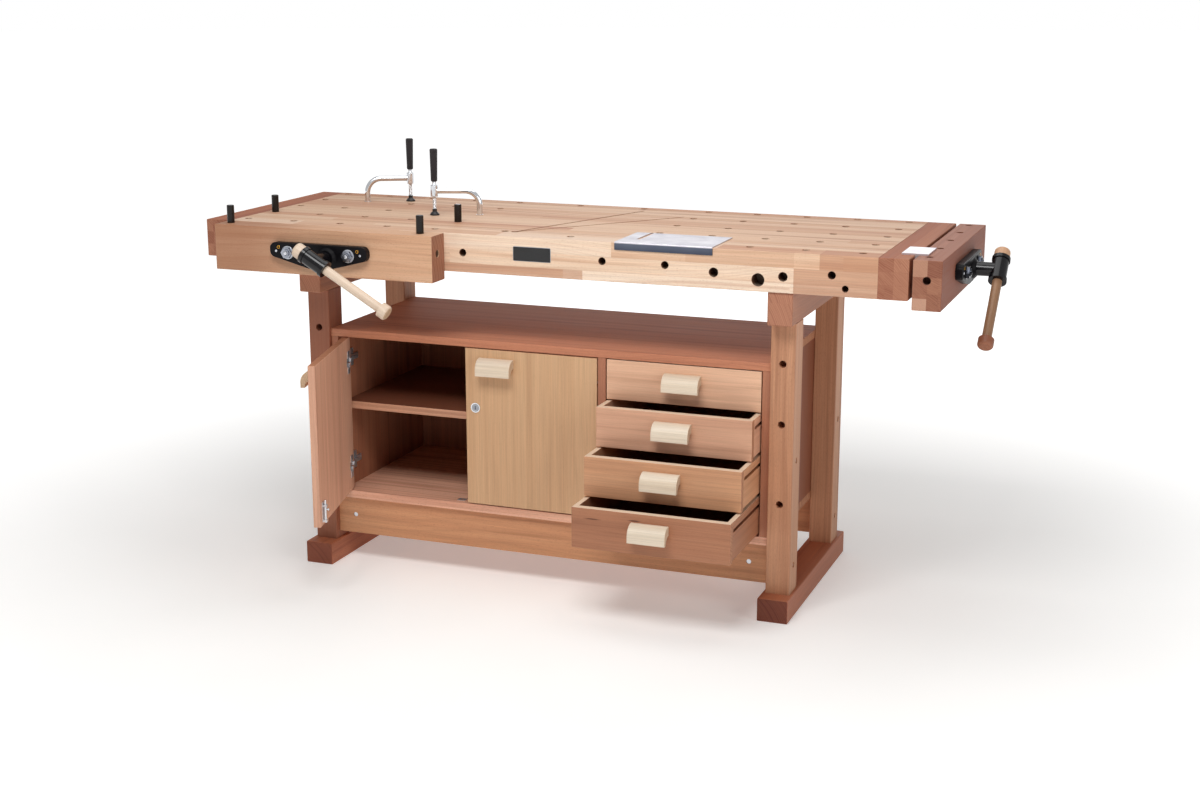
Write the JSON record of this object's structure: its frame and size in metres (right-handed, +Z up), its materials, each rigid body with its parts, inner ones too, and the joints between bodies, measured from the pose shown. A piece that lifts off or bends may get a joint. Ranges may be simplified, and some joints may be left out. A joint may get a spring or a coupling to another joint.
{
  "type": "woodworking bench",
  "caption": "Cabinetmaker's workbench: laminated top with dog holes, front and end vises, trestles, cupboard doors and drawers below.",
  "frame": {"origin": "centre of the bounding box at rest, on the floor", "axes": "+X along the bench towards the end vise, +Y from the front vise towards the back, +Z up"},
  "size_m": [1.997, 0.8794, 1.073],
  "materials": {
    "beech_top": "oiled, close straight grain",
    "beech_jaw": "oiled, close straight grain",
    "beech_frame": "oiled",
    "veneered_panel": "satin lacquer",
    "pale_birch": "smooth turned, waxed",
    "black_casting": "gloss black enamel",
    "polished_rod": "ground",
    "zinc_fixing": "zinc plated",
    "bright_steel": "rolled bright",
    "black_steel": "black oxide",
    "chrome": "plated",
    "black_plastic": "moulded"
  },
  "bodies": {
    "bench": {"feet": "beech_frame", "legs": "beech_frame", "beams": "beech_frame", "front_stretcher": "beech_frame", "back_stretcher": "beech_frame", "top_panel": "beech_top", "front_rail": "beech_top", "back_rail": "beech_top", "left_end_cap": "beech_top", "right_end_cap": "beech_top", "cabinet_sides": "veneered_panel", "cabinet_divider": "veneered_panel", "cabinet_floor": "veneered_panel", "cabinet_top": "veneered_panel", "cabinet_back": "veneered_panel", "cupboard_shelf": "veneered_panel", "drawer_runners": "black_plastic", "frame_bolts": "zinc_fixing", "cabinet_fittings": "zinc_fixing", "work_plate": "bright_steel", "fixed_jaw_liner": "bright_steel", "front_vise_plate": "black_casting", "end_vise_plate": "black_casting"},
    "front_vise_jaw": {"front_jaw": "beech_jaw", "front_flange": "black_casting", "front_guide_rods": "polished_rod"},
    "front_vise_screw": {"front_screw": "black_casting"},
    "front_vise_handle": {"front_handle": "pale_birch"},
    "end_vise_jaw": {"end_jaw": "beech_jaw", "end_flange": "black_casting", "end_guide_rods": "polished_rod", "moving_jaw_liner": "bright_steel"},
    "end_vise_screw": {"end_screw": "black_casting"},
    "end_vise_handle": {"end_handle": "pale_birch"},
    "left_door": {"left_door": "veneered_panel", "left_door_fittings": "zinc_fixing", "left_door_pull": "pale_birch"},
    "door_bolt": {"door_bolt": "chrome"},
    "right_door": {"right_door": "veneered_panel", "right_door_fittings": "zinc_fixing", "right_door_pull": "pale_birch"},
    "door_lock": {"door_lock": "chrome"},
    "drawer_1": {"drawer_1": "veneered_panel", "drawer_1_pull": "pale_birch"},
    "drawer_2": {"drawer_2": "veneered_panel", "drawer_2_pull": "pale_birch"},
    "drawer_3": {"drawer_3": "veneered_panel", "drawer_3_pull": "pale_birch"},
    "drawer_4": {"drawer_4": "veneered_panel", "drawer_4_pull": "pale_birch"},
    "bench_dog_1": {"bench_dog_1": "black_steel"},
    "bench_dog_2": {"bench_dog_2": "black_steel"},
    "bench_dog_3": {"bench_dog_3": "black_steel"},
    "bench_dog_4": {"bench_dog_4": "black_steel"},
    "holdfast_1_arm": {"holdfast_1_arm": "chrome"},
    "holdfast_1_pad": {"holdfast_1_pad": "black_steel"},
    "holdfast_1_screw": {"holdfast_1_screw": "black_plastic"},
    "holdfast_2_arm": {"holdfast_2_arm": "chrome"},
    "holdfast_2_pad": {"holdfast_2_pad": "black_steel"},
    "holdfast_2_screw": {"holdfast_2_screw": "black_plastic"}
  },
  "joints": [
    {"name": "front_jaw_slide", "type": "slide", "parent": "bench", "child": "front_vise_jaw", "axis": [0, -1, 0], "range_m": [0, 0.15]},
    {"name": "front_screw_turn", "type": "hinge", "parent": "front_vise_jaw", "child": "front_vise_screw", "pos_m": [-0.60105, -0.31534, 0.834], "axis": [0, -1, 0], "range_deg": [0, 9000]},
    {"name": "front_handle_slide", "type": "slide", "parent": "front_vise_screw", "child": "front_vise_handle", "axis": [-0.8607, 0, 0.509], "range_m": [0, 0.169]},
    {"name": "end_jaw_slide", "type": "slide", "parent": "bench", "child": "end_vise_jaw", "axis": [1, 0, 0], "range_m": [0, 0.15]},
    {"name": "end_screw_turn", "type": "hinge", "parent": "end_vise_jaw", "child": "end_vise_screw", "pos_m": [0.97655, 0.16116, 0.834], "axis": [1, 0, 0], "range_deg": [0, 9000]},
    {"name": "end_handle_slide", "type": "slide", "parent": "end_vise_screw", "child": "end_vise_handle", "axis": [0, 0.7373, 0.6756], "range_m": [0, 0.169]},
    {"name": "left_door_hinge", "type": "hinge", "parent": "bench", "child": "left_door", "pos_m": [-0.64055, -0.10734, 0.4], "axis": [0, 0, 1], "range_deg": [-20, 75]},
    {"name": "door_bolt_slide", "type": "slide", "parent": "left_door", "child": "door_bolt", "axis": [0, 0, -1], "range_m": [0, 0.016]},
    {"name": "right_door_hinge", "type": "hinge", "parent": "bench", "child": "right_door", "pos_m": [0.04695, -0.10734, 0.4], "axis": [0, 0, 1], "range_deg": [0, 88]},
    {"name": "door_lock_turn", "type": "hinge", "parent": "right_door", "child": "door_lock", "pos_m": [-0.2683, -0.11534, 0.451], "axis": [0, 1, 0], "range_deg": [0, 90]},
    {"name": "drawer_1_slide", "type": "slide", "parent": "bench", "child": "drawer_1", "axis": [0, -1, 0], "range_m": [0, 0.35]},
    {"name": "drawer_2_slide", "type": "slide", "parent": "bench", "child": "drawer_2", "axis": [0, -1, 0], "range_m": [-0.073, 0.277]},
    {"name": "drawer_3_slide", "type": "slide", "parent": "bench", "child": "drawer_3", "axis": [0, -1, 0], "range_m": [-0.154, 0.196]},
    {"name": "drawer_4_slide", "type": "slide", "parent": "bench", "child": "drawer_4", "axis": [0, -1, 0], "range_m": [-0.236, 0.114]},
    {"name": "dog_1_height", "type": "slide", "parent": "front_vise_jaw", "child": "bench_dog_1", "axis": [0, 0, 1], "range_m": [-0.045, 0.04]},
    {"name": "dog_2_height", "type": "slide", "parent": "front_vise_jaw", "child": "bench_dog_2", "axis": [0, 0, 1], "range_m": [-0.045, 0.04]},
    {"name": "dog_3_height", "type": "slide", "parent": "bench", "child": "bench_dog_3", "axis": [0, 0, 1], "range_m": [-0.045, 0.04]},
    {"name": "dog_4_height", "type": "slide", "parent": "bench", "child": "bench_dog_4", "axis": [0, 0, 1], "range_m": [-0.045, 0.04]},
    {"name": "holdfast_1_swivel", "type": "hinge", "parent": "bench", "child": "holdfast_1_arm", "pos_m": [-0.77055, 0.28316, 0.9], "axis": [0, 0, 1], "continuous": true},
    {"name": "holdfast_1_lift", "type": "slide", "parent": "holdfast_1_arm", "child": "holdfast_1_pad", "axis": [0, 0, 1], "range_m": [0, 0.03]},
    {"name": "holdfast_1_screw_turn", "type": "hinge", "parent": "holdfast_1_pad", "child": "holdfast_1_screw", "pos_m": [-0.66627, 0.33838, 0.96], "axis": [0, 0, 1], "range_deg": [0, 5400]},
    {"name": "holdfast_2_swivel", "type": "hinge", "parent": "bench", "child": "holdfast_2_arm", "pos_m": [-0.37005, 0.14966, 0.9], "axis": [0, 0, 1], "range_deg": [-270, 50]},
    {"name": "holdfast_2_lift", "type": "slide", "parent": "holdfast_2_arm", "child": "holdfast_2_pad", "axis": [0, 0, 1], "range_m": [0, 0.03]},
    {"name": "holdfast_2_screw_turn", "type": "hinge", "parent": "holdfast_2_pad", "child": "holdfast_2_screw", "pos_m": [-0.48036, 0.10776, 0.96], "axis": [0, 0, 1], "range_deg": [0, 5400]}
  ],
  "couplings": [
    {"joint": "front_jaw_slide", "follows": "front_screw_turn", "m_per_rad": 0.00095493},
    {"joint": "end_jaw_slide", "follows": "end_screw_turn", "m_per_rad": 0.00095493},
    {"joint": "holdfast_1_screw_turn", "follows": "holdfast_1_lift", "rad_per_m": 3141.6},
    {"joint": "holdfast_2_screw_turn", "follows": "holdfast_2_lift", "rad_per_m": 3141.6}
  ]
}
